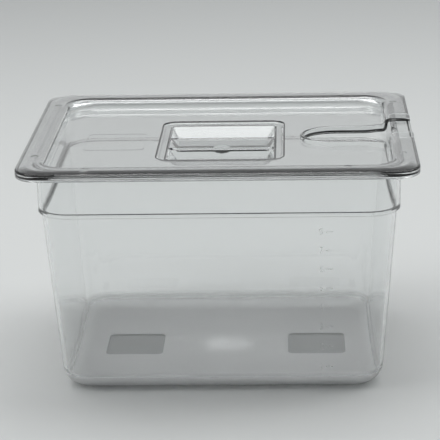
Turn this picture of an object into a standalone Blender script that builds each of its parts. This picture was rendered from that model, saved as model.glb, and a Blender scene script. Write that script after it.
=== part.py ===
# Clear half-size food pan with a notched lift-off lid, of the kind used for cooking in a water bath.
# Metres, +Z up. The origin is at the middle of the underside of the pan, X runs along its length.
import math

import bmesh
import bpy
import numpy as np
from mathutils import Vector

MM = 0.001

# Pan, outside
RIM_LENGTH = 325 * MM
RIM_WIDTH = 265 * MM
PAN_HEIGHT = 196 * MM
WALL = 3.0 * MM
RIM_CORNER = 21 * MM
RIM_OVERHANG = 14.5 * MM
RIM_THICKNESS = 3.0 * MM
RIM_EDGE_DEPTH = 4.6 * MM
RIM_EDGE_WIDTH = 2.6 * MM
COLLAR_CORNER = 28 * MM
COLLAR_DEPTH = 39.7 * MM
SHOULDER_STEP = 2.7 * MM
WALL_DRAFT = math.radians(4.14)
BASE_CORNER = 25 * MM
BASE_FILLET = 19 * MM
MOUTH_FILLET = 5.0 * MM
COLLAR_FILLET = 3.0 * MM
SHOULDER_FILLET = 1.0 * MM
EDGE_FILLET = 1.1 * MM

# Lid plate, heights counted from the top of the pan's rim
SEAT_GAP = 0.3 * MM
LID_THICKNESS = 2.5 * MM
WELL_DEPTH = 9.0 * MM
WELL_INSET = 20.8 * MM
WELL_SLOPE = math.radians(78)
WELL_CORNER = 22 * MM
WELL_ROLL = 4.2 * MM
WELL_FOLD = 1.2 * MM
LID_EDGE_BAND = 8.0 * MM
LID_EDGE_DROP = 0.7 * MM
LID_EDGE_FILLET = 1.3 * MM

# Moulded handle: a shallow recess in the panel, two finger wells and the grip bar between them
RECESS_LENGTH = 107 * MM
RECESS_WIDTH = 125 * MM
RECESS_CORNER = 12 * MM
STEP_DROP = 1.8 * MM
STEP_RUN = 2.6 * MM
STEP_FILLET = 1.6 * MM
END_LEDGE = 8.4 * MM
SIDE_LEDGE = 7.8 * MM
LEDGE_FALL = 0.2 * MM
LEDGE_FILLET = 1.2 * MM
FINGER_CORNER = 3.5 * MM
END_SLOPE = math.radians(34)
SIDE_SLOPE = math.radians(62)
GRIP_WIDTH = 31.8 * MM
GRIP_DROP = 0.7 * MM
GRIP_DRAFT = math.radians(5)
FINGER_DEPTH = 10.1 * MM

# Notch in the lid for the cooker, and the lip that stands round it
NOTCH_TIP = 69.5 * MM
NOTCH_TIP_LENGTH = 27.5 * MM
NOTCH_WIDTH = 48 * MM
NOTCH_MOUTH_WIDTH = 58.4 * MM
NOTCH_FLARE_LENGTH = 20 * MM
LIP_HEIGHT = 4.5 * MM
LIP_PANEL_HEIGHT = 3.9 * MM
LIP_THICKNESS = 2.4 * MM
LIP_INSET = 19.1 * MM
LIP_SLOPE = math.radians(68)
LIP_ROLL = 7.0 * MM
LIP_FOLD = 2.0 * MM
LIP_END_SETBACK = 0.3 * MM
LIP_END_FILLET = 3.5 * MM

# Fineness of the round stretches
CORNER_STEPS = 8
FILLET_STEPS = 5
HANDLE_STEPS = 3
TIP_STEPS = 10
FLARE_STEPS = 6
SMALLEST_CORNER = 1.0 * MM
SMALL_FILLET = 0.3 * MM

# Heights and places that follow from the sizes above
SHOULDER_Z = PAN_HEIGHT - COLLAR_DEPTH
LOWER_CORNER = COLLAR_CORNER - SHOULDER_STEP
LID_TOP = SEAT_GAP + LID_THICKNESS
PANEL_TOP = LID_TOP - WELL_DEPTH
LEDGE_LEVEL = PANEL_TOP - STEP_DROP - LEDGE_FALL
GRIP_TOP = LEDGE_LEVEL - GRIP_DROP
FINGER_FLOOR = LEDGE_LEVEL - FINGER_DEPTH
WELL_FOOT = WELL_INSET + WELL_DEPTH / math.tan(WELL_SLOPE)
PANEL_INSET = WELL_FOOT + WELL_FOLD + LID_THICKNESS


# Points of a profile whose corners are rounded, each corner given as inset, height and radius
def rounded_profile(corners, steps=FILLET_STEPS):
    places = [Vector((inset, height)) for inset, height, radius in corners]
    points = [places[0]]
    for before, corner, after, (_, _, radius) in zip(places, places[1:], places[2:], corners[1:]):
        back = (before - corner).normalized()
        ahead = (after - corner).normalized()
        turn = back.angle(ahead)
        centre = corner + (back + ahead).normalized() * radius / math.sin(turn / 2)
        start = corner + back * radius / math.tan(turn / 2) - centre
        end = corner + ahead * radius / math.tan(turn / 2) - centre
        sweep = math.pi - turn
        for step in range(steps + 1):
            share = step / steps
            near = math.sin((1 - share) * sweep) / math.sin(sweep)
            far = math.sin(share * sweep) / math.sin(sweep)
            points.append(centre + start * near + end * far)
    points.append(places[-1])
    return points


# One level ring, a rectangle with round corners
def rounded_rectangle(half_x, half_y, corner, height):
    corner = max(corner, SMALLEST_CORNER)
    ring = []
    for quarter, (side_x, side_y) in enumerate(((1, 1), (-1, 1), (-1, -1), (1, -1))):
        for step in range(CORNER_STEPS + 1):
            angle = math.pi / 2 * (quarter + step / CORNER_STEPS)
            x = side_x * (half_x - corner) + corner * math.cos(angle)
            y = side_y * (half_y - corner) + corner * math.sin(angle)
            ring.append(Vector((x, y, height)))
    return ring


# Level rings skinned over into one closed body, with its first and last ring filled
def skin(form, rings):
    loops = [[form.verts.new(point) for point in ring] for ring in rings]
    for loop, following in zip(loops, loops[1:]):
        for here in range(len(loop)):
            there = (here + 1) % len(loop)
            form.faces.new((loop[here], loop[there], following[there], following[here]))
    form.faces.new(loops[0])
    form.faces.new(loops[-1])


def loft(name, rings):
    form = bmesh.new()
    skin(form, rings)
    return finish_mesh(name, form)


# A closed upright prism over a level outline
def prism(name, outline, low, high):
    form = bmesh.new()
    floor = form.faces.new([form.verts.new((x, y, low)) for x, y in outline])
    raised = bmesh.ops.extrude_face_region(form, geom=[floor])
    lifted = [item for item in raised["geom"] if isinstance(item, bmesh.types.BMVert)]
    bmesh.ops.translate(form, verts=lifted, vec=(0, 0, high - low))
    return finish_mesh(name, form)


def finish_mesh(name, form):
    bmesh.ops.recalc_face_normals(form, faces=form.faces)
    mesh = bpy.data.meshes.new(name)
    form.to_mesh(mesh)
    form.free()
    mesh.shade_smooth()
    mesh.set_sharp_from_angle(angle=math.radians(35))
    piece = bpy.data.objects.new(name, mesh)
    bpy.context.collection.objects.link(piece)
    return piece


def clear_polycarbonate(name, tint, roughness):
    material = bpy.data.materials.new(name)
    material.use_nodes = True
    shader = material.node_tree.nodes["Principled BSDF"]
    shader.inputs["Base Color"].default_value = (*tint, 1)
    shader.inputs["Roughness"].default_value = roughness
    shader.inputs["Metallic"].default_value = 0
    shader.inputs["IOR"].default_value = 1.585
    shader.inputs["Transmission Weight"].default_value = 1
    return material


# A form that only cuts or joins another one
def as_guide(piece, parent):
    piece.parent = parent
    piece.hide_render = True
    piece.display_type = "WIRE"
    return piece


def add_boolean(piece, operation, guide):
    step = piece.modifiers.new(guide.name, "BOOLEAN")
    step.operation = operation
    step.object = guide
    step.solver = "EXACT"


# How far the outside of the pan's wall lies in from the rim's edge at a height
def wall_inset(height):
    if height > SHOULDER_Z:
        return RIM_OVERHANG
    return RIM_OVERHANG + SHOULDER_STEP + (SHOULDER_Z - height) * math.tan(WALL_DRAFT)


# Corner radius of the pan's wall at a height, and of what lies inside or outside it
def pan_corner(inset, height):
    if height > SHOULDER_Z:
        wall_corner = COLLAR_CORNER
    else:
        wall_corner = BASE_CORNER + (LOWER_CORNER - BASE_CORNER) * height / SHOULDER_Z
    if inset < RIM_OVERHANG:
        return RIM_CORNER + (COLLAR_CORNER - RIM_CORNER) * inset / RIM_OVERHANG
    return wall_corner - (inset - wall_inset(height))


def rim_ring(inset, height, corner):
    return rounded_rectangle(RIM_LENGTH / 2 - inset, RIM_WIDTH / 2 - inset, corner, height)


# The pan: tapered body, stacking shoulder, collar and a rim with a turned-down edge
def make_pan():
    foot = wall_inset(0)
    shoulder = wall_inset(SHOULDER_Z)
    floor_foot = wall_inset(WALL) + WALL
    rim_under = PAN_HEIGHT - RIM_THICKNESS
    edge_low = PAN_HEIGHT - RIM_EDGE_DEPTH
    profile = rounded_profile((
        (foot + BASE_FILLET, 0, 0),
        (foot, 0, BASE_FILLET),
        (shoulder, SHOULDER_Z, SHOULDER_FILLET),
        (RIM_OVERHANG, SHOULDER_Z, SHOULDER_FILLET),
        (RIM_OVERHANG, rim_under, COLLAR_FILLET),
        (RIM_EDGE_WIDTH, rim_under, EDGE_FILLET / 2),
        (RIM_EDGE_WIDTH, edge_low, EDGE_FILLET),
        (0, edge_low, EDGE_FILLET),
        (0, PAN_HEIGHT, EDGE_FILLET),
        (RIM_OVERHANG + WALL, PAN_HEIGHT, MOUTH_FILLET),
        (RIM_OVERHANG + WALL, SHOULDER_Z + WALL, SHOULDER_FILLET),
        (shoulder + WALL, SHOULDER_Z + WALL, SHOULDER_FILLET),
        (floor_foot, WALL, BASE_FILLET - WALL),
        (floor_foot + BASE_FILLET - WALL, WALL, 0),
    ))
    pan = loft("pan", [rim_ring(inset, height, pan_corner(inset, height)) for inset, height in profile])
    pan.data.materials.append(clear_polycarbonate("clear_pan", (0.93, 0.94, 0.94), 0.06))
    return pan


# Corner radius of the lid: the rim's at its edge, the well's from the well inwards
def lid_corner(inset):
    if inset < WELL_INSET:
        return RIM_CORNER + (WELL_CORNER - RIM_CORNER) * inset / WELL_INSET
    return WELL_CORNER - (inset - WELL_INSET)


# A closed plate over the rim and the well. Its top follows the corners given, from the panel outwards,
# and its underside lies at a depth under the lid's own top surface.
def lid_layer(name, top_corners, depth):
    shift = depth * math.tan(WELL_SLOPE / 2)
    edge_inset = top_corners[-1][0]
    profile = rounded_profile((
        *top_corners,
        (edge_inset, LID_TOP - depth, SMALL_FILLET),
        (WELL_INSET - shift, LID_TOP - depth, max(WELL_ROLL - depth, SMALL_FILLET)),
        (WELL_FOOT - shift, PANEL_TOP - depth, WELL_FOLD + depth),
        (PANEL_INSET, PANEL_TOP - depth, 0),
    ))
    return loft(name, [rim_ring(inset, height, lid_corner(inset)) for inset, height in profile])


def lid_plate():
    return lid_layer("lid", (
        (PANEL_INSET, PANEL_TOP, 0),
        (WELL_FOOT, PANEL_TOP, WELL_FOLD),
        (WELL_INSET, LID_TOP, WELL_ROLL),
        (LID_EDGE_BAND, LID_TOP, LID_EDGE_BAND),
        (0, LID_TOP - LID_EDGE_DROP, LID_EDGE_FILLET),
    ), LID_THICKNESS)


# The layer that the notch's lip is cut from, with a softer bend than the lid's own
def lip_layer():
    panel_level = PANEL_TOP + LIP_PANEL_HEIGHT
    rim_level = LID_TOP + LIP_HEIGHT
    foot = LIP_INSET + (rim_level - panel_level) / math.tan(LIP_SLOPE)
    return lid_layer("lip_layer", (
        (PANEL_INSET, panel_level, 0),
        (foot, panel_level, LIP_FOLD),
        (LIP_INSET, rim_level, LIP_ROLL),
        (LIP_END_SETBACK, rim_level, LIP_END_FILLET),
    ), LID_THICKNESS / 2)


# A profile with every stretch moved out by a wall's thickness, met again at its corners
def grown_profile(corners, grow):
    grown = []
    for here, (inset, height, radius) in enumerate(corners):
        normals = []
        for first, second in ((here - 1, here), (here, here + 1)):
            if first >= 0 and second < len(corners):
                along = Vector(corners[second][:2]) - Vector(corners[first][:2])
                normals.append(Vector((along.y, -along.x)).normalized())
        shift = (normals[0] + normals[-1]) * grow / (1 + normals[0].dot(normals[-1]))
        grown.append((inset + shift.x, height + shift.y, radius))
    return grown


# The handle's hollow from the panel over the step and the ledge down one wall, as depths and insets.
# It starts a little over the panel and beside the recess, so that the step's upper edge comes out round.
def hollow_profile(ledge, slope, grow):
    low = FINGER_FLOOR - 3 * LID_THICKNESS
    corners = grown_profile((
        (-RECESS_CORNER / 2, PANEL_TOP + STEP_DROP / 5, 0),
        (0, PANEL_TOP, STEP_FILLET),
        (STEP_RUN, PANEL_TOP - STEP_DROP, STEP_FILLET),
        (ledge, LEDGE_LEVEL, LEDGE_FILLET),
        (ledge + (LEDGE_LEVEL - low) * math.tan(slope), low, 0),
    ), grow)
    if grow > 0:
        corners[0] = (corners[1][0], PANEL_TOP - LID_THICKNESS / 2, 0)
    points = rounded_profile(corners, HANDLE_STEPS)
    return [-point.y for point in points], [point.x for point in points]


# The handle's hollow as one form, grown by a wall's thickness for its outside
def handle_form(name, grow):
    end_depths, end_insets = hollow_profile(END_LEDGE, END_SLOPE, grow)
    side_depths, side_insets = hollow_profile(SIDE_LEDGE, SIDE_SLOPE, grow)
    grip_level = GRIP_TOP - grow
    floor_level = FINGER_FLOOR - grow
    half_grip = GRIP_WIDTH / 2 - grow

    def half_sizes(height):
        half_x = RECESS_LENGTH / 2 - np.interp(-height, end_depths, end_insets)
        half_y = RECESS_WIDTH / 2 - np.interp(-height, side_depths, side_insets)
        return half_x, half_y

    def ring_at(height, place):
        half_x, half_y = half_sizes(height)
        corner = RECESS_CORNER - (RECESS_LENGTH / 2 - half_x)
        return rounded_rectangle(half_x, half_y, max(corner, FINGER_CORNER), place)

    heights = []
    for height in sorted((-depth for depth in end_depths + side_depths), reverse=True):
        if height > grip_level + 0.1 * MM and (not heights or heights[-1] - height > 0.05 * MM):
            heights.append(height)
    rings = [ring_at(height, height) for height in heights + [grip_level]]
    if grow == 0:
        rings.insert(0, ring_at(heights[0], PANEL_TOP + LIP_HEIGHT))
    form = bmesh.new()
    skin(form, rings)

    # The sole is cut along both sides of the grip, and its two outer thirds are drawn down
    for side in (-1, 1):
        level = [face for face in form.faces if abs(face.calc_center_median().z - grip_level) < 0.02 * MM]
        edges = list({edge for face in level for edge in face.edges})
        points = list({vert for face in level for vert in face.verts})
        bmesh.ops.bisect_plane(form, geom=points + edges + level, dist=0.01 * MM,
                               plane_co=(0, side * half_grip, 0), plane_no=(0, 1, 0))
    old_x, old_y = half_sizes(grip_level)
    new_x, new_y = half_sizes(floor_level)
    inner = half_grip + (grip_level - floor_level) * math.tan(GRIP_DRAFT)
    for face in list(form.faces):
        middle = face.calc_center_median()
        if abs(middle.z - grip_level) > 0.02 * MM or abs(middle.y) < half_grip:
            continue
        side = math.copysign(1, middle.y)
        drawn = bmesh.ops.extrude_discrete_faces(form, faces=[face])["faces"][0]
        for vert in drawn.verts:
            across = (abs(vert.co.y) - half_grip) / (old_y - half_grip)
            vert.co.x *= new_x / old_x
            vert.co.y = side * (inner + across * (new_y - inner))
            vert.co.z = floor_level
    return finish_mesh(name, form)


# Outline of the notch: an elliptic tip, straight sides and a smooth flare across the rim
def notch_outline(grow):
    half = NOTCH_WIDTH / 2 + grow
    mouth = NOTCH_MOUTH_WIDTH / 2 + grow
    tip_end = NOTCH_TIP + NOTCH_TIP_LENGTH
    flare_end = RIM_LENGTH / 2 - WELL_INSET
    side = []
    for step in range(TIP_STEPS + 1):
        angle = math.pi / 2 * step / TIP_STEPS
        x = tip_end - (NOTCH_TIP_LENGTH + grow) * math.cos(angle)
        side.append((x, half * math.sin(angle)))
    for step in range(FLARE_STEPS + 1):
        share = step / FLARE_STEPS
        x = flare_end + NOTCH_FLARE_LENGTH * (share - 1)
        side.append((x, half + (mouth - half) * (1 - math.cos(math.pi * share)) / 2))
    side.append((RIM_LENGTH / 2 + WELL_INSET, mouth))
    return side + [(x, -y) for x, y in reversed(side[1:])]


# The lid: plate, handle and notch, moulded in one
def make_lid():
    lid = lid_plate()
    lid.data.materials.append(clear_polycarbonate("clear_lid", (0.93, 0.94, 0.94), 0.04))
    reach = LID_THICKNESS + WELL_DEPTH + LIP_HEIGHT

    lip = lip_layer()
    lip_band = prism("lip_band", notch_outline(LIP_THICKNESS), -reach, reach)
    add_boolean(lip, "INTERSECT", lip_band)
    pocket = handle_form("handle_pocket", LID_THICKNESS)
    opening = handle_form("handle_opening", 0)
    notch = prism("notch", notch_outline(0), -reach, reach)

    add_boolean(lid, "UNION", pocket)
    add_boolean(lid, "UNION", lip)
    add_boolean(lid, "DIFFERENCE", opening)
    add_boolean(lid, "DIFFERENCE", notch)
    for guide in (lip, lip_band, pocket, opening, notch):
        as_guide(guide, lid)
    lid.location = (0, 0, PAN_HEIGHT)
    return lid


for item in list(bpy.data.objects):
    bpy.data.objects.remove(item, do_unlink=True)
make_pan()
make_lid()
bpy.context.view_layer.update()
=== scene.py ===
import math

import bmesh
import bpy
from mathutils import Matrix, Vector


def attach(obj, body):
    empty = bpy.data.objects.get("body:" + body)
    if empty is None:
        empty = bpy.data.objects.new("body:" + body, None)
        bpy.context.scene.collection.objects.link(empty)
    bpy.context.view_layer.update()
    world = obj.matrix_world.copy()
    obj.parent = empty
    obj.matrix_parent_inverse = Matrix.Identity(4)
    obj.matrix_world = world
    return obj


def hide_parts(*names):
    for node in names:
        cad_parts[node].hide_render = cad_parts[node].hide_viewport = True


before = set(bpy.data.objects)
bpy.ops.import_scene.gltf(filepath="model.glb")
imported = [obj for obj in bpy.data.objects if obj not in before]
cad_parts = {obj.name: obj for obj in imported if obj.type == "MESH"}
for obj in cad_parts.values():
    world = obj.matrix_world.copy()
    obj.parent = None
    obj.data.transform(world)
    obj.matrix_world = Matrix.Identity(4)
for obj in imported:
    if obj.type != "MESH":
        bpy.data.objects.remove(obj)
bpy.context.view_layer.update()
print("frame loaded:", ", ".join(sorted(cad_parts)))

mm = 0.001
mergeDistance = 0.002 * mm
smallestCorner = 1 * mm
outlineSteps = 6  # in each round corner of a small flat outline
discSides = 32
buttonSides = 40
creaseAngle = math.radians(40)  # edges sharper than this stay crisp
flatWeight = 90  # how much a large flat face outweighs the small ones beside it in the shading
plasticIor = 1.585  # polycarbonate


def roundedProfile(corners, steps):
    # corners are (inset, height, radius); each radius becomes an arc of that many steps
    places = [Vector((inset, height)) for inset, height, radius in corners]
    points = [places[0]]
    for before, corner, after, (_, _, radius) in zip(places, places[1:], places[2:], corners[1:]):
        back = (before - corner).normalized()
        ahead = (after - corner).normalized()
        turn = back.angle(ahead)
        centre = corner + (back + ahead).normalized() * radius / math.sin(turn / 2)
        start = corner + back * radius / math.tan(turn / 2) - centre
        end = corner + ahead * radius / math.tan(turn / 2) - centre
        sweep = math.pi - turn
        for step in range(steps + 1):
            share = step / steps
            near = math.sin((1 - share) * sweep) / math.sin(sweep)
            far = math.sin(share * sweep) / math.sin(sweep)
            points.append(centre + start * near + end * far)
    points.append(places[-1])
    return points


def heightAt(profile, x):
    # height of a profile given as (x, height) points, x rising
    for (x0, z0), (x1, z1) in zip(profile, profile[1:]):
        if x <= x1:
            return z0 + (z1 - z0) * max(0, x - x0) / max(x1 - x0, mergeDistance * 0.001)
    return profile[-1][1]


def roundRing(halfX, halfY, radius, height, steps):
    # a level rectangle of points with round corners
    radius = max(radius, smallestCorner)
    ring = []
    for quarter, (sideX, sideY) in enumerate(((1, 1), (-1, 1), (-1, -1), (1, -1))):
        for step in range(steps + 1):
            angle = math.pi / 2 * (quarter + step / steps)
            ring.append(Vector((sideX * (halfX - radius) + radius * math.cos(angle),
                                sideY * (halfY - radius) + radius * math.sin(angle), height)))
    return ring


def skinRings(rings):
    # one circle of points, drawn on from ring to ring, with both ends filled
    bm = bmesh.new()
    order = bm.verts.layers.int.new("order")
    loop = bmesh.ops.create_circle(bm, segments=len(rings[0]), radius=1)["verts"]
    for index, vert in enumerate(loop):
        vert[order] = index
        vert.co = rings[0][index]
    edges = bm.edges[:]
    bmesh.ops.contextual_create(bm, geom=edges)
    for ring in rings[1:]:
        drawn = bmesh.ops.extrude_edge_only(bm, edges=edges)["geom"]
        fresh = {item for item in drawn if isinstance(item, bmesh.types.BMVert)}
        edges = [item for item in drawn if isinstance(item, bmesh.types.BMEdge)
                 and item.verts[0] in fresh and item.verts[1] in fresh]
        for vert in fresh:
            vert.co = ring[vert[order]]
    bmesh.ops.contextual_create(bm, geom=edges)
    bmesh.ops.recalc_face_normals(bm, faces=bm.faces)
    return bm


def thicken(bm, rise):
    # level faces drawn up into a block
    lifted = bmesh.ops.extrude_face_region(bm, geom=bm.faces[:])["geom"]
    bmesh.ops.translate(bm, verts=[v for v in lifted if isinstance(v, bmesh.types.BMVert)], vec=(0, 0, rise))
    bmesh.ops.recalc_face_normals(bm, faces=bm.faces)


def drawUp(outline, low, high):
    # an upright block over a level outline of (x, y) points
    bm = bmesh.new()
    bm.faces.new([bm.verts.new((x, y, low)) for x, y in outline])
    thicken(bm, high - low)
    return bm


def discs(places, radius, low, high):
    # thin upright discs at the places given, in one mesh
    bm = bmesh.new()
    for x, y in places:
        made = bmesh.ops.create_cone(bm, cap_ends=True, segments=discSides, radius1=radius, radius2=radius,
                                     depth=high - low)
        bmesh.ops.translate(bm, verts=made["verts"], vec=(x, y, (low + high) / 2))
    return bm


def button(radii, place):
    # a flat round-edged blob, such as a moulding gate leaves
    bm = bmesh.new()
    bmesh.ops.create_uvsphere(bm, u_segments=buttonSides, v_segments=buttonSides // 2, radius=1)
    bmesh.ops.scale(bm, verts=bm.verts, vec=radii)
    bmesh.ops.translate(bm, verts=bm.verts, vec=place)
    return bm


def flatOutline(halfX, halfY, radius, middle):
    # (x, y) points of a round-cornered rectangle about a middle
    ring = roundRing(halfX, halfY, radius, 0, outlineSteps)
    return [(point.x + middle[0], point.y + middle[1]) for point in ring]


def toObject(name, bm):
    mesh = bpy.data.meshes.new(name)
    bm.to_mesh(mesh)
    bm.free()
    piece = bpy.data.objects.new(name, mesh)
    bpy.context.scene.collection.objects.link(piece)
    return piece


def combine(piece, *steps):
    # exact booleans, one after another, applied to the mesh
    for operation, tool in steps:
        live = piece.modifiers.new("cut", "BOOLEAN")
        live.operation = operation
        live.object = tool
        live.solver = "EXACT"
        bakeModifiers(piece)
        bpy.data.objects.remove(tool)
    return piece


def bakeModifiers(piece):
    bpy.context.view_layer.update()
    ready = piece.evaluated_get(bpy.context.evaluated_depsgraph_get())
    mesh = bpy.data.meshes.new_from_object(ready)
    piece.modifiers.clear()
    old = piece.data
    piece.data = mesh
    bpy.data.meshes.remove(old)


def smoothPiece(piece):
    # flat faces stay flat beside their roundings, so the clear plastic bends light evenly
    bm = bmesh.new()
    bm.from_mesh(piece.data)
    bmesh.ops.remove_doubles(bm, verts=bm.verts, dist=mergeDistance)
    bmesh.ops.dissolve_degenerate(bm, edges=bm.edges, dist=mergeDistance)
    bmesh.ops.holes_fill(bm, edges=[edge for edge in bm.edges if edge.is_boundary])
    bm.to_mesh(piece.data)
    bm.free()
    piece.data.shade_smooth()
    piece.data.set_sharp_from_angle(angle=creaseAngle)
    weighted = piece.modifiers.new("even", "WEIGHTED_NORMAL")
    weighted.keep_sharp = True
    weighted.mode = "FACE_AREA"
    weighted.weight = flatWeight
    bakeModifiers(piece)


def hexColour(code):
    # sRGB hex to linear
    channels = [int(code[i:i + 2], 16) / 255 for i in (1, 3, 5)]
    return (*[c / 12.92 if c <= 0.04045 else ((c + 0.055) / 1.055) ** 2.4 for c in channels], 1)


def addNode(material, kind, inputs=None, **settings):
    # inputs maps a socket to a value or to another node's output
    tree = material.node_tree
    node = tree.nodes.new(kind)
    for key, value in settings.items():
        setattr(node, key, value)
    for key, value in (inputs or {}).items():
        if isinstance(value, bpy.types.NodeSocket):
            tree.links.new(value, node.inputs[key])
        else:
            node.inputs[key].default_value = value
    return node


def startMaterial(name):
    material = bpy.data.materials.new(name)
    material.use_nodes = True
    material.node_tree.nodes.clear()
    return material


# injection-moulded polycarbonate from a polished tool: clear, glossy, with a very slight long swell
# from shrinkage, and a thin haze from handling that only softens the reflections a little
def polycarbonate(name, finish):
    material = startMaterial(name)
    place = addNode(material, "ShaderNodeTexCoord").outputs["Object"]
    swell = addNode(material, "ShaderNodeTexNoise", {"Vector": place, "Scale": 1 / finish["swellSize"],
                                                     "Detail": 1.0, "Roughness": 0.4})
    haze = addNode(material, "ShaderNodeTexNoise", {"Vector": place, "Scale": 1 / finish["hazeSize"],
                                                    "Detail": 4.0, "Roughness": 0.6})
    rough = addNode(material, "ShaderNodeMapRange", {"Value": haze.outputs["Fac"], "From Min": 0.3,
                                                     "From Max": 0.75, "To Min": finish["roughLow"],
                                                     "To Max": finish["roughHigh"]})
    bump = addNode(material, "ShaderNodeBump", {"Height": swell.outputs["Fac"], "Strength": 1.0,
                                                "Distance": finish["swellHeight"]})
    shader = addNode(material, "ShaderNodeBsdfPrincipled",
                     {"Base Color": hexColour(finish["tint"]), "Metallic": 0.0, "IOR": plasticIor,
                      "Transmission Weight": 1.0, "Roughness": rough.outputs["Result"],
                      "Normal": bump.outputs["Normal"]})
    addNode(material, "ShaderNodeOutputMaterial", {"Surface": shader.outputs["BSDF"]})
    return material


# the same plastic off a spark-eroded tool face: an even matt grain that blurs what lies behind it; the
# real grain is a few tenths of a millimetre wide, too fine to show here, so it is drawn coarser
def frostedPolycarbonate(name, finish):
    material = startMaterial(name)
    place = addNode(material, "ShaderNodeTexCoord").outputs["Object"]
    grain = addNode(material, "ShaderNodeTexNoise", {"Vector": place, "Scale": 1 / finish["grainSize"],
                                                     "Detail": 3.0, "Roughness": 0.7})
    bump = addNode(material, "ShaderNodeBump", {"Height": grain.outputs["Fac"], "Strength": 1.0,
                                                "Distance": finish["grainHeight"]})
    rough = addNode(material, "ShaderNodeMapRange", {"Value": grain.outputs["Fac"], "From Min": 0.3,
                                                     "From Max": 0.7, "To Min": finish["roughLow"],
                                                     "To Max": finish["roughHigh"]})
    # a painted glow round the gate, where the melt came in: the frost grows whiter and less clear towards the
    # middle
    away = addNode(material, "ShaderNodeVectorMath", {0: place}, operation="LENGTH")
    clear = addNode(material, "ShaderNodeMapRange",
                    {"Value": away.outputs["Value"], "From Min": finish["paintedGlowInner"],
                     "From Max": finish["paintedGlowOuter"], "To Min": finish["paintedGlowClear"],
                     "To Max": finish["clear"]}, interpolation_type="SMOOTHSTEP")
    # the grain runs out up the fillet, into the polish of the walls
    height = addNode(material, "ShaderNodeSeparateXYZ", {"Vector": place})
    fade = addNode(material, "ShaderNodeMapRange",
                   {"Value": height.outputs["Z"], "From Min": finish["fadeLow"],
                    "From Max": finish["fadeHigh"]}, interpolation_type="SMOOTHSTEP")
    clear = addNode(material, "ShaderNodeMapRange", {"Value": fade.outputs["Result"], "To Max": 1.0,
                                                     "To Min": clear.outputs["Result"]})
    rough = addNode(material, "ShaderNodeMapRange", {"Value": fade.outputs["Result"],
                                                     "To Max": finish["fadeRough"],
                                                     "To Min": rough.outputs["Result"]})
    shader = addNode(material, "ShaderNodeBsdfPrincipled",
                     {"Base Color": hexColour(finish["tint"]), "Metallic": 0.0, "IOR": plasticIor,
                      "Transmission Weight": clear.outputs["Result"], "Roughness": rough.outputs["Result"],
                      "Normal": bump.outputs["Normal"]})
    addNode(material, "ShaderNodeOutputMaterial", {"Surface": shader.outputs["BSDF"]})
    return material


pan = dict(
    length=325 * mm, width=265 * mm, height=196 * mm, wall=3 * mm,
    rimCorner=21 * mm, rimOverhang=14.5 * mm, rimThickness=3 * mm, edgeDepth=4.6 * mm, edgeWidth=2.6 * mm,
    collarCorner=28 * mm, collarDepth=39.7 * mm, shoulderStep=2.7 * mm, draft=math.radians(4.14),
    baseCorner=25 * mm, baseFillet=19 * mm, mouthFillet=5 * mm, collarFillet=3 * mm, shoulderFillet=1 * mm,
    edgeFillet=1.1 * mm, cornerSteps=20, filletSteps=8,
    windowX=80 * mm, windowSize=(50 * mm, 49 * mm), windowCorner=5 * mm,
    windowDepth=0.25 * mm, windowStep=0.1 * mm,  # under the base, and in the floor over it
    gateRadius=4.5 * mm, gateHeight=0.9 * mm, toolReach=3 * mm,
)
scale = dict(litres=8, litre=0.001, sliceHeight=0.1 * mm, dashX=(86.8 * mm, 92.6 * mm), dashHeight=1 * mm,
             numberX=85.2 * mm, numberSize=8 * mm, proud=0.3 * mm, sunk=0.5 * mm)
panFinish = dict(tint="#f8f9f9", swellSize=60 * mm, swellHeight=0.025 * mm, hazeSize=9 * mm,
                 roughLow=0.008, roughHigh=0.03)
# the raised marks come off a blasted tool face, so they stand out as dull strokes on the glossy wall; the
# grit of a blasted face is too fine to show, and is drawn as soft patches 2 mm wide
markFinish = dict(tint="#f8f9f9", swellSize=50 * mm, swellHeight=0.012 * mm, hazeSize=2 * mm,
                  roughLow=0.22, roughHigh=0.34)
# the base and floor finishes carry a painted glow round the gate: whiter and less clear at the middle, fading
# out by 32 mm
baseFinish = dict(tint="#fbfcfc", clear=0.75, grainSize=0.9 * mm, grainHeight=0.05 * mm, roughLow=0.3,
                  roughHigh=0.45, paintedGlowInner=3 * mm, paintedGlowOuter=32 * mm, paintedGlowClear=0.05,
                  fadeLow=11 * mm, fadeHigh=18 * mm, fadeRough=0.02)
floorFinish = dict(baseFinish, clear=0.38, fadeLow=5 * mm)


def panInset(height):
    # how far the pan's outside stands in from the rim's edge
    shoulder = pan["height"] - pan["collarDepth"]
    if height > shoulder:
        return pan["rimOverhang"]
    return pan["rimOverhang"] + pan["shoulderStep"] + (shoulder - height) * math.tan(pan["draft"])


def panCorner(inset, height):
    shoulder = pan["height"] - pan["collarDepth"]
    lower = pan["collarCorner"] - pan["shoulderStep"]
    corner = pan["baseCorner"] + (lower - pan["baseCorner"]) * height / shoulder
    if height > shoulder:
        corner = pan["collarCorner"]
    if inset < pan["rimOverhang"]:
        return pan["rimCorner"] + (pan["collarCorner"] - pan["rimCorner"]) * inset / pan["rimOverhang"]
    return corner - (inset - panInset(height))


def litreHeights():
    # water level for each whole litre, from the cavity's own cross-sections
    fillet = pan["baseFillet"] - pan["wall"]
    volume = 0
    height = pan["wall"]
    levels = []
    while len(levels) < scale["litres"]:
        dip = max(pan["wall"] + fillet - height, 0)
        inset = panInset(height) + pan["wall"] + fillet - math.sqrt(fillet ** 2 - dip ** 2)
        corner = panCorner(inset, height)
        across = (pan["length"] - 2 * inset) * (pan["width"] - 2 * inset)
        volume += (across - (4 - math.pi) * corner ** 2) * scale["sliceHeight"]
        height += scale["sliceHeight"]
        if volume >= (len(levels) + 1) * scale["litre"]:
            levels.append(height)
    return levels


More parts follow.
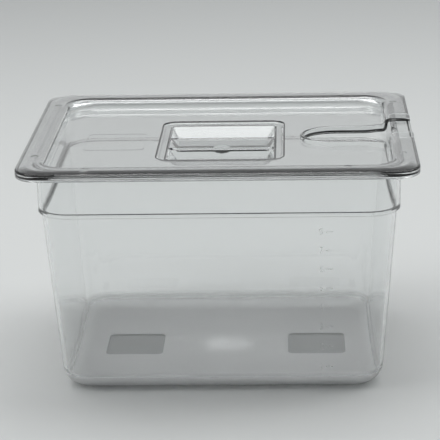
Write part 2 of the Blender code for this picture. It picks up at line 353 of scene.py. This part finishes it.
def makeScale():
    # a short dash and a plain number for each litre, made flat first, then stood against the front wall
    steps = []
    for litre, level in enumerate(litreHeights(), 1):
        left, right = scale["dashX"]
        half = scale["dashHeight"] / 2
        corners = [(left, -half), (right, -half), (right, half), (left, half)]
        dash = drawUp(corners, -scale["sunk"], scale["proud"])
        curve = bpy.data.curves.new("litre_number", "FONT")
        curve.body = str(litre)
        curve.size = scale["numberSize"]
        curve.align_x, curve.align_y = "RIGHT", "CENTER"
        curve.resolution_u = 3
        curve.fill_mode = "NONE"
        words = bpy.data.objects.new("litre_number", curve)
        bpy.context.scene.collection.objects.link(words)
        bpy.context.view_layer.update()
        number = bmesh.new()
        number.from_mesh(words.evaluated_get(bpy.context.evaluated_depsgraph_get()).to_mesh())
        bpy.data.objects.remove(words)
        bmesh.ops.remove_doubles(number, verts=number.verts, dist=mergeDistance)
        bmesh.ops.triangle_fill(number, use_beauty=True, edges=number.edges)
        thicken(number, scale["proud"] + scale["sunk"])
        bmesh.ops.translate(number, verts=number.verts, vec=(scale["numberX"], 0, -scale["sunk"]))
        place = Matrix.Translation((0, panInset(level) - pan["width"] / 2, level))
        stand = place @ Matrix.Rotation(math.radians(90) + pan["draft"], 4, "X")
        for mark in (toObject("litre_dash", dash), toObject("litre_number", number)):
            mark.data.transform(stand)
            steps.append(("UNION", mark))
    return steps


def isMark(face):
    # the raised faces of the litre marks, which stand proud of the front wall
    x, y, z = face.center
    marked = scale["numberX"] - scale["numberSize"] < x < scale["dashX"][1] + scale["dashHeight"]
    below = pan["height"] - pan["collarDepth"] - 2 * pan["shoulderFillet"]
    proud = y < panInset(z) - pan["width"] / 2 - scale["proud"] / 2
    return marked and pan["baseFillet"] < z < below and proud


def panFinishAt(face):
    # the material slot of a face: the base is matt up to the top of its fillet, but for the two windows
    x, y, z = face.center
    halfX, halfY = [length / 2 for length in pan["windowSize"]]
    inWindow = abs(abs(x) - pan["windowX"]) < halfX and abs(y) < halfY
    if z < pan["baseFillet"] and not inWindow:
        return 1 if face.normal.z < 0 else 2
    return 3 if isMark(face) else 0


def makePan():
    wall = pan["wall"]
    over = pan["rimOverhang"]
    shoulder = pan["height"] - pan["collarDepth"]
    foot = panInset(0)
    floorFoot = panInset(wall) + wall
    rimUnder = pan["height"] - pan["rimThickness"]
    edgeLow = pan["height"] - pan["edgeDepth"]
    profile = roundedProfile((
        (foot + pan["baseFillet"], 0, 0),
        (foot, 0, pan["baseFillet"]),
        (panInset(shoulder), shoulder, pan["shoulderFillet"]),
        (over, shoulder, pan["shoulderFillet"]),
        (over, rimUnder, pan["collarFillet"]),
        (pan["edgeWidth"], rimUnder, pan["edgeFillet"] / 2),
        (pan["edgeWidth"], edgeLow, pan["edgeFillet"]),
        (0, edgeLow, pan["edgeFillet"]),
        (0, pan["height"], pan["edgeFillet"]),
        (over + wall, pan["height"], pan["mouthFillet"]),
        (over + wall, shoulder + wall, pan["shoulderFillet"]),
        (panInset(shoulder) + wall, shoulder + wall, pan["shoulderFillet"]),
        (floorFoot, wall, pan["baseFillet"] - wall),
        (floorFoot + pan["baseFillet"] - wall, wall, 0),
    ), pan["filletSteps"])
    rings = [roundRing(pan["length"] / 2 - inset, pan["width"] / 2 - inset, panCorner(inset, height),
                       height, pan["cornerSteps"]) for inset, height in profile]
    body = toObject("pan_body", skinRings(rings))

    # two bare polished windows, sunk a little into both matt faces of the base
    cuts = []
    for side in (-1, 1):
        outline = flatOutline(*[length / 2 for length in pan["windowSize"]], pan["windowCorner"],
                              (side * pan["windowX"], 0))
        for low, high in ((-pan["toolReach"], pan["windowDepth"]),
                          (wall - pan["windowStep"], wall + pan["toolReach"])):
            cuts.append(("DIFFERENCE", toObject("window", drawUp(outline, low, high))))
    # the button that the moulding gate leaves in the middle of the floor, half a height sunk in it
    gate = button((pan["gateRadius"], pan["gateRadius"], 1.5 * pan["gateHeight"]),
                  (0, 0, wall - pan["gateHeight"] / 2))
    cuts.append(("UNION", toObject("gate", gate)))
    combine(body, *cuts, *makeScale())

    body.data.materials.clear()
    for material in (polycarbonate("clearPolycarbonatePan", panFinish),
                     frostedPolycarbonate("frostedPolycarbonateBase", baseFinish),
                     frostedPolycarbonate("frostedPolycarbonateFloor", floorFinish),
                     polycarbonate("satinPolycarbonateMarks", markFinish)):
        body.data.materials.append(material)
    for face in body.data.polygons:
        face.material_index = panFinishAt(face)
    smoothPiece(body)
    return body


# heights on the lid count from the top of the pan's rim until the finished lid is lifted there
lid = dict(
    seatGap=0.3 * mm, thickness=2.5 * mm, wellDepth=9.0 * mm, wellInset=20.8 * mm, wellSlope=math.radians(78),
    wellCorner=22 * mm, wellRoll=4.2 * mm, wellFold=1.2 * mm, edgeBand=8 * mm, edgeDrop=0.7 * mm,
    edgeFillet=1.3 * mm, smallFillet=0.3 * mm, cornerSteps=20, filletSteps=8,
)
handle = dict(
    length=107 * mm, width=125 * mm, corner=12 * mm, innerCorner=3.5 * mm,
    stepDrop=1.8 * mm, stepRun=2.6 * mm, stepRound=1.6 * mm, ledgeFall=0.2 * mm, foldRound=1.2 * mm,
    endLedge=8.4 * mm, sideLedge=7.8 * mm, endSlope=math.radians(34), sideSlope=math.radians(62),
    gripWidth=31.8 * mm, gripDrop=2.7 * mm, gripDraft=math.radians(5), fingerDepth=12.1 * mm,
    edgeRound=0.6 * mm, edgeGrowth=0.3, edgeSteps=4, sharpAngle=math.radians(24),
    wallThickness=2.5 * mm, roundSteps=5,
    leadRun=6 * mm, leadRise=0.25 * mm, toolReach=8 * mm,  # the cut starts a little over and outside the panel
    levelGap=0.05 * mm, ringGap=0.015 * mm, hair=0.01 * mm,
    gateRadii=(10.4 * mm, 0.8 * mm, 7.2 * mm), gatePlace=(0.4 * mm, -15.62 * mm, -7.2 * mm),
)
notch = dict(
    tip=69.5 * mm, tipLength=27.5 * mm, width=48 * mm, mouthWidth=58.4 * mm, flareLength=20 * mm,
    lipHeight=4.5 * mm, lipPanelHeight=3.9 * mm, lipThickness=2.4 * mm, lipInset=19.1 * mm,
    lipSlope=math.radians(68), lipRoll=7 * mm, lipFold=2 * mm, endSetback=0.3 * mm, endFillet=3.5 * mm,
    edgeRound=0.9 * mm, edgeSteps=4, tipSteps=28, flareSteps=16, profileSteps=10,
    cutGap=0.15 * mm, toolReach=20 * mm, footLift=0.35 * mm, leastRounds=2.2, innerX=150 * mm, tailGap=0.2 * mm,
)
marks = dict(
    pins=((-150.5 * mm, 89 * mm), (150.5 * mm, 89 * mm), (-150.5 * mm, -80 * mm), (150.5 * mm, -80 * mm),
          (-105 * mm, 120 * mm), (105 * mm, 120 * mm), (105 * mm, -118 * mm)),
    pinRadius=3.2 * mm, pinDepth=0.4 * mm, toolReach=1 * mm,
    insert=(-105.7 * mm, -121.5 * mm), insertSize=(6.8 * mm, 9.6 * mm), insertCorner=1 * mm,
    label=(-90.8 * mm, -5.2 * mm), labelSize=(51.6 * mm, 52 * mm), labelCorner=5 * mm,
    ridgeWidth=0.8 * mm, ridgeHeight=0.35 * mm,
)
lidFinish = dict(tint="#f8f9f9", swellSize=70 * mm, swellHeight=0.012 * mm, hazeSize=7 * mm,
                 roughLow=0.008, roughHigh=0.03)
# off a finely blasted tool face: a soft sheen, with the grit drawn coarse as on the pan's marks
satinFinish = dict(tint="#f8f9f9", swellSize=50 * mm, swellHeight=0.012 * mm, hazeSize=3 * mm,
                   roughLow=0.09, roughHigh=0.15, leastUp=0.05)
lidTop = lid["seatGap"] + lid["thickness"]
panelTop = lidTop - lid["wellDepth"]


def lidCorner(inset):
    # corner radius of the lid's rings, from the rim's to the well's
    if inset < lid["wellInset"]:
        return pan["rimCorner"] + (lid["wellCorner"] - pan["rimCorner"]) * inset / lid["wellInset"]
    return lid["wellCorner"] - (inset - lid["wellInset"])


def plateProfile():
    # from the panel's top out over the flange, round its edge and back underneath
    depth = lid["thickness"]
    wellFoot = lid["wellInset"] + lid["wellDepth"] / math.tan(lid["wellSlope"])
    panelInset = wellFoot + lid["wellFold"] + depth
    shift = depth * math.tan(lid["wellSlope"] / 2)
    return roundedProfile((
        (panelInset, panelTop, 0),
        (wellFoot, panelTop, lid["wellFold"]),
        (lid["wellInset"], lidTop, lid["wellRoll"]),
        (lid["edgeBand"], lidTop, lid["edgeBand"]),
        (0, lidTop - lid["edgeDrop"], lid["edgeFillet"]),
        (0, lidTop - depth, lid["smallFillet"]),
        (lid["wellInset"] - shift, lidTop - depth, max(lid["wellRoll"] - depth, lid["smallFillet"])),
        (wellFoot - shift, panelTop - depth, lid["wellFold"] + depth),
        (panelInset, panelTop - depth, 0),
    ), lid["filletSteps"])


def makePlate():
    rings = [roundRing(pan["length"] / 2 - inset, pan["width"] / 2 - inset, lidCorner(inset), height,
                       lid["cornerSteps"]) for inset, height in plateProfile()]
    return toObject("lid_body", skinRings(rings))


def growProfile(corners, grow):
    # every stretch moved out by a wall's thickness, and met again at the corners
    moved = []
    for index, (inset, height, radius) in enumerate(corners):
        sides = []
        for first, second in ((index - 1, index), (index, index + 1)):
            if first >= 0 and second < len(corners):
                along = Vector(corners[second][:2]) - Vector(corners[first][:2])
                sides.append(Vector((along.y, -along.x)).normalized())
        shift = (sides[0] + sides[-1]) * grow / (1 + sides[0].dot(sides[-1]))
        moved.append((inset + shift.x, height + shift.y, radius))
    return moved


def handleProfile(ledge, slope, grow):
    # from the panel over a small step and a ledge, then down the wall, as (depth, inset)
    size = handle
    low = panelTop - size["fingerDepth"] - 3 * size["wallThickness"]
    ledgeLow = panelTop - size["stepDrop"] - size["ledgeFall"]
    corners = growProfile((
        (-size["leadRun"], panelTop + size["leadRise"], 0),
        (0, panelTop, size["stepRound"]),
        (size["stepRun"], panelTop - size["stepDrop"], size["stepRound"]),
        (ledge, ledgeLow, size["foldRound"]),
        (ledge + (ledgeLow - low) * math.tan(slope), low, 0),
    ), grow)
    if grow > 0:
        corners[0] = (corners[1][0], panelTop - lid["thickness"] / 2, 0)
    return [(-height, inset) for inset, height in roundedProfile(corners, size["roundSteps"])]


def makeHandleForm(grow):
    # the hollow over and beside the grip as one block; grown by the wall it is the outside of that hollow
    size = handle
    ends = handleProfile(size["endLedge"], size["endSlope"], grow)
    sides = handleProfile(size["sideLedge"], size["sideSlope"], grow)
    gripLevel = panelTop - size["gripDrop"] - grow
    floor = panelTop - size["fingerDepth"] - grow
    halfGrip = size["gripWidth"] / 2 - grow

    def halves(height):
        return size["length"] / 2 - heightAt(ends, -height), size["width"] / 2 - heightAt(sides, -height)

    def ringAt(height, place):
        corner = max(size["corner"] - heightAt(ends, -height), size["innerCorner"])
        return roundRing(*halves(height), corner, place, lid["cornerSteps"])

    heights = []
    for depth in sorted(depth for depth, inset in ends + sides):
        if -depth > gripLevel + size["levelGap"] and (not heights or heights[-1] + depth > size["ringGap"]):
            heights.append(-depth)
    rings = [ringAt(heights[0], panelTop + size["toolReach"])] if grow == 0 else []
    rings += [ringAt(height, height) for height in heights + [gripLevel]]
    bm = skinRings(rings)

    def sole():
        lowest = min(face.calc_center_median().z for face in bm.faces)
        return [face for face in bm.faces if face.calc_center_median().z < lowest + size["hair"]]

    # the sole is cut along the grip's sides, and its outer parts are drawn down to make both wells
    for side in (-1, 1):
        flat = sole()
        geom = list(dict.fromkeys(flat + [part for face in flat for part in (*face.edges, *face.verts)]))
        bmesh.ops.bisect_plane(bm, geom=geom, dist=size["hair"], plane_co=(0, side * halfGrip, 0),
                               plane_no=(0, 1, 0))
    oldX, oldY = halves(gripLevel)
    newX, newY = halves(floor)
    inner = halfGrip + (gripLevel - floor) * math.tan(size["gripDraft"])
    for well in [f for f in sole() if abs(f.calc_center_median().y) > halfGrip]:
        side = math.copysign(1, well.calc_center_median().y)
        low = bmesh.ops.extrude_discrete_faces(bm, faces=[well])["faces"][0]
        for vert in low.verts:
            across = (abs(vert.co.y) - halfGrip) / (oldY - halfGrip)
            vert.co = (vert.co.x * newX / oldX, side * (inner + across * (newY - inner)), floor)
    bmesh.ops.recalc_face_normals(bm, faces=bm.faces)

    # soft edges round the well floors and along the grip
    sharp = [e for e in bm.edges if max(vert.co.z for vert in e.verts) < gripLevel + size["hair"]
             and len(e.link_faces) == 2 and e.calc_face_angle() > size["sharpAngle"]]
    bmesh.ops.bevel(bm, geom=sharp, offset=size["edgeRound"] + size["edgeGrowth"] * grow, offset_type="OFFSET",
                    affect="EDGES", segments=size["edgeSteps"], profile=0.5, material=-1, clamp_overlap=True)
    bmesh.ops.recalc_face_normals(bm, faces=bm.faces)
    return bm


def notchSide(grow):
    # one side of the notch's outline, from its tip to the end of the flare
    half = notch["width"] / 2 + grow
    mouth = notch["mouthWidth"] / 2 + grow
    tipEnd = notch["tip"] + notch["tipLength"]
    flareEnd = pan["length"] / 2 - lid["wellInset"]
    side = []
    for step in range(notch["tipSteps"] + 1):
        angle = math.pi / 2 * step / notch["tipSteps"]
        side.append((tipEnd - (notch["tipLength"] + grow) * math.cos(angle), half * math.sin(angle)))
    for step in range(notch["flareSteps"] + 1):
        share = step / notch["flareSteps"]
        side.append((flareEnd + notch["flareLength"] * (share - 1),
                     half + (mouth - half) * (1 - math.cos(math.pi * share)) / 2))
    return side


def makeNotchCut():
    # a hair wider than the notch, so that the lip's inner face is the only one there
    reach = notch["toolReach"]
    side = notchSide(notch["cutGap"])
    side.append((pan["length"] / 2 + reach, side[-1][1]))
    outline = side + [(x, -y) for x, y in reversed(side[1:])]
    return toObject("notch_cut", drawUp(outline, panelTop - reach, lidTop + reach))


def lipTopProfile():
    # top of the lip along the notch, as (x, height)
    panelLevel = panelTop + notch["lipPanelHeight"]
    rimLevel = lidTop + notch["lipHeight"]
    edge = pan["length"] / 2
    foot = notch["lipInset"] + (rimLevel - panelLevel) / math.tan(notch["lipSlope"])
    points = roundedProfile((
        (notch["tip"] - edge, panelLevel, 0),
        (-foot, panelLevel, notch["lipFold"]),
        (-notch["lipInset"], rimLevel, notch["lipRoll"]),
        (-notch["endSetback"], rimLevel, notch["endFillet"]),
        (-notch["endSetback"], lidTop - lid["thickness"] / 2, 0),
    ), notch["profileSteps"])
    return [(x + edge, z) for x, z in points]


def makeLip():
    # a rounded strip swept round the notch: its top follows the lip, its foot stays inside the plate;
    # the profile's last point lies straight under the one before, and the strip's end face covers it
    top = lipTopProfile()[:-1]
    under = [(pan["length"] / 2 - inset, height) for inset, height in plateProfile()]
    under = sorted((x, z) for x, z in under[len(under) // 2:])
    side = notchSide(0)
    tail = [(x, z) for x, z in top if x > side[-1][0] + notch["tailGap"]]
    side += [(x, side[-1][1]) for x, z in tail]
    path = [(x, -y) for x, y in reversed(side[1:])] + side
    heights = [heightAt(top, x) for x, y in path]
    # the end falls steeply, so its heights come from the profile itself
    for index, (x, z) in enumerate(tail):
        heights[len(path) - len(tail) + index] = z
        heights[len(tail) - 1 - index] = z
    thick = notch["lipThickness"]
    soften = notch["edgeRound"]
    sections = []
    for index, (x, y) in enumerate(path):
        before = Vector(path[max(index - 1, 0)])
        after = Vector(path[min(index + 1, len(path) - 1)])
        along = (after - before).normalized()
        out = Vector((-along.y, along.x))
        if out.dot(Vector((x - notch["innerX"], y))) < 0:
            out = -out
        low = heightAt(under, x) + notch["footLift"]
        high = max(heights[index], low + notch["leastRounds"] * soften)
        sections.append((Vector((x, y)), out, low, high))
    shape = []
    for corner, (sideways, up) in enumerate(((0, 0), (1, 0), (1, 1), (0, 1))):
        for step in range(notch["edgeSteps"] + 1):
            angle = math.pi * (1 + corner / 2) + math.pi / 2 * step / notch["edgeSteps"]
            shape.append((sideways, up, math.cos(angle), math.sin(angle)))
    rings = []
    for spot, out, low, high in sections:
        ring = []
        for sideways, up, cosine, sine in shape:
            reach = (soften if sideways == 0 else thick - soften) + soften * cosine
            height = (low + soften if up == 0 else high - soften) + soften * sine
            ring.append(Vector((spot.x + out.x * reach, spot.y + out.y * reach, height)))
        rings.append(ring)
    return toObject("notch_lip", skinRings(rings))


def makeMarks():
    # ejector pins leave shallow discs in the flange, and an exchangeable insert leaves a small oblong;
    # a bare raised outline stands on the panel where a maker would put a label
    reach = marks["toolReach"]
    pins = discs(marks["pins"], marks["pinRadius"], lidTop - marks["pinDepth"], lidTop + reach)
    halves = [side / 2 for side in marks["insertSize"]]
    insert = drawUp(flatOutline(*halves, marks["insertCorner"], marks["insert"]), lidTop - marks["pinDepth"],
                    lidTop + reach)
    halves = [side / 2 for side in marks["labelSize"]]
    low, high = panelTop - lid["thickness"] / 2, panelTop + marks["ridgeHeight"]
    outline = flatOutline(*halves, marks["labelCorner"], marks["label"])
    ridge = toObject("label_ridge", drawUp(outline, low, high))
    inside = [half - marks["ridgeWidth"] for half in halves]
    corner = marks["labelCorner"] - marks["ridgeWidth"]
    middle = drawUp(flatOutline(*inside, corner, marks["label"]), low - reach, high + reach)
    combine(ridge, ("DIFFERENCE", toObject("label_middle", middle)))
    # the low round blob that the lid's own gate leaves on the front of the grip
    x, y, drop = handle["gatePlace"]
    gate = toObject("lid_gate", button(handle["gateRadii"], (x, y, panelTop + drop)))
    return (("DIFFERENCE", toObject("pin_marks", pins)), ("DIFFERENCE", toObject("insert_mark", insert)),
            ("UNION", ridge), ("UNION", gate))


def isSatin(face):
    # the flange and the handle's border come off a blasted tool face, all the rest off a polished one
    x, y, z = face.center
    z -= pan["height"]
    if face.normal.z < satinFinish["leastUp"]:
        return False
    if any(math.dist((x, y), pin) < marks["pinRadius"] for pin in marks["pins"]):
        return False
    if abs(z - lidTop) < lid["edgeDrop"] + 2 * handle["levelGap"]:
        return True
    return (abs(x) < handle["length"] / 2 and abs(y) < handle["width"] / 2
            and panelTop - handle["stepDrop"] - handle["ledgeFall"] < z < panelTop - handle["levelGap"])


def makeLid():
    plate = makePlate()
    pocket = toObject("handle_pocket", makeHandleForm(handle["wallThickness"]))
    hollow = toObject("handle_hollow", makeHandleForm(0))
    combine(plate, ("UNION", pocket), ("DIFFERENCE", hollow), ("DIFFERENCE", makeNotchCut()), *makeMarks(),
            ("UNION", makeLip()))
    plate.data.transform(Matrix.Translation((0, 0, pan["height"])))
    plate.data.materials.clear()
    plate.data.materials.append(polycarbonate("clearPolycarbonateLid", lidFinish))
    plate.data.materials.append(polycarbonate("satinPolycarbonateLid", satinFinish))
    for face in plate.data.polygons:
        face.material_index = 1 if isSatin(face) else 0
    smoothPiece(plate)
    return plate


panBody = makePan()
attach(panBody, "pan")
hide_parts("pan")
print("pan made:", len(panBody.data.polygons), "faces")

lidBody = makeLid()
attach(lidBody, "lid")
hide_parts("lid")
print("lid made:", len(lidBody.data.polygons), "faces")


studio = dict(floorSize=14, floorGap=-0.4 * mm, floorColour="#d3d5d4", floorRoughLow=0.5, floorRoughHigh=0.62,
              floorSpecular=0.2, mottleSize=833 * mm, worldColour="#ececec", worldStrength=0.7,
              skyColour="#aeb1b3", skyRise=0.7)
lamps = dict(softboxTop=dict(place=(-0.1, 0.35, 1.9), size=(2.0, 1.5), power=22),
             softboxLeft=dict(place=(-1.4, -0.5, 1.6), size=(1.0, 1.2), power=9),
             softboxRight=dict(place=(1.4, 0.3, 1.6), size=(1.0, 1.2), power=8))
lampAim = (0, 0, 0.1)
camera = dict(place=(64.4 * mm, -1556.0 * mm, 613.5 * mm), yaw=math.radians(2.485), pitch=math.radians(17.673),
              roll=math.radians(-1.286), focalPixels=1880.9, imagePixels=440, sensor=36, farEnd=50)


# a board with a coat of matt paint: plain and pale, with hardly any shine
def makeFloor():
    bm = bmesh.new()
    bmesh.ops.create_grid(bm, x_segments=1, y_segments=1, size=studio["floorSize"] / 2)
    bmesh.ops.translate(bm, verts=bm.verts, vec=(0, 0, studio["floorGap"]))
    floor = toObject("floor", bm)
    material = startMaterial("paintedStudioFloor")
    place = addNode(material, "ShaderNodeTexCoord").outputs["Object"]
    mottle = addNode(material, "ShaderNodeTexNoise", {"Vector": place, "Scale": 1 / studio["mottleSize"],
                                                      "Detail": 2.0})
    rough = addNode(material, "ShaderNodeMapRange", {"Value": mottle.outputs["Fac"],
                                                     "To Min": studio["floorRoughLow"],
                                                     "To Max": studio["floorRoughHigh"]})
    shader = addNode(material, "ShaderNodeBsdfPrincipled",
                     {"Base Color": hexColour(studio["floorColour"]), "Roughness": rough.outputs["Result"],
                      "Specular IOR Level": studio["floorSpecular"]})
    addNode(material, "ShaderNodeOutputMaterial", {"Surface": shader.outputs["BSDF"]})
    floor.data.materials.append(material)


def makeWorld():
    # pale at the horizon and a little darker overhead, which gives the clear edges their lines
    world = bpy.data.worlds.new("studio")
    world.use_nodes = True
    world.node_tree.nodes.clear()
    direction = addNode(world, "ShaderNodeTexCoord").outputs["Generated"]
    parts = addNode(world, "ShaderNodeSeparateXYZ", {"Vector": direction})
    rise = addNode(world, "ShaderNodeMapRange", {"Value": parts.outputs["Z"], "From Max": studio["skyRise"]})
    tone = addNode(world, "ShaderNodeMix", {"Factor": rise.outputs["Result"]}, data_type="RGBA")
    tone.inputs["A"].default_value = hexColour(studio["worldColour"])
    tone.inputs["B"].default_value = hexColour(studio["skyColour"])
    light = addNode(world, "ShaderNodeBackground", {"Color": tone.outputs["Result"],
                                                    "Strength": studio["worldStrength"]})
    addNode(world, "ShaderNodeOutputWorld", {"Surface": light.outputs["Background"]})
    bpy.context.scene.world = world


def makeLamp(name, place, size, power):
    light = bpy.data.lights.new(name, "AREA")
    light.shape = "RECTANGLE"
    light.size, light.size_y = size
    light.energy = power
    lamp = bpy.data.objects.new(name, light)
    lamp.location = place
    lamp.rotation_euler = (Vector(place) - Vector(lampAim)).to_track_quat("Z", "Y").to_euler()
    bpy.context.scene.collection.objects.link(lamp)


def makeCamera():
    yaw, pitch, roll = camera["yaw"], camera["pitch"], camera["roll"]
    ahead = Vector((-math.sin(yaw) * math.cos(pitch), math.cos(yaw) * math.cos(pitch), -math.sin(pitch)))
    right = Vector((math.cos(yaw), math.sin(yaw), 0))
    up = right.cross(ahead)
    sideways = math.cos(roll) * right + math.sin(roll) * up
    upward = -math.sin(roll) * right + math.cos(roll) * up
    eye = bpy.data.cameras.new("camera")
    eye.sensor_width = camera["sensor"]
    eye.lens = camera["focalPixels"] / camera["imagePixels"] * camera["sensor"]
    eye.clip_end = camera["farEnd"]
    seat = bpy.data.objects.new("camera", eye)
    turn = Matrix((sideways, upward, -ahead)).transposed().to_4x4()
    seat.matrix_world = Matrix.Translation(camera["place"]) @ turn
    bpy.context.scene.collection.objects.link(seat)
    bpy.context.scene.camera = seat


makeFloor()
makeWorld()
for name, lamp in lamps.items():
    makeLamp(name, **lamp)
makeCamera()
bpy.context.scene.view_settings.view_transform = "Standard"
print("studio ready")
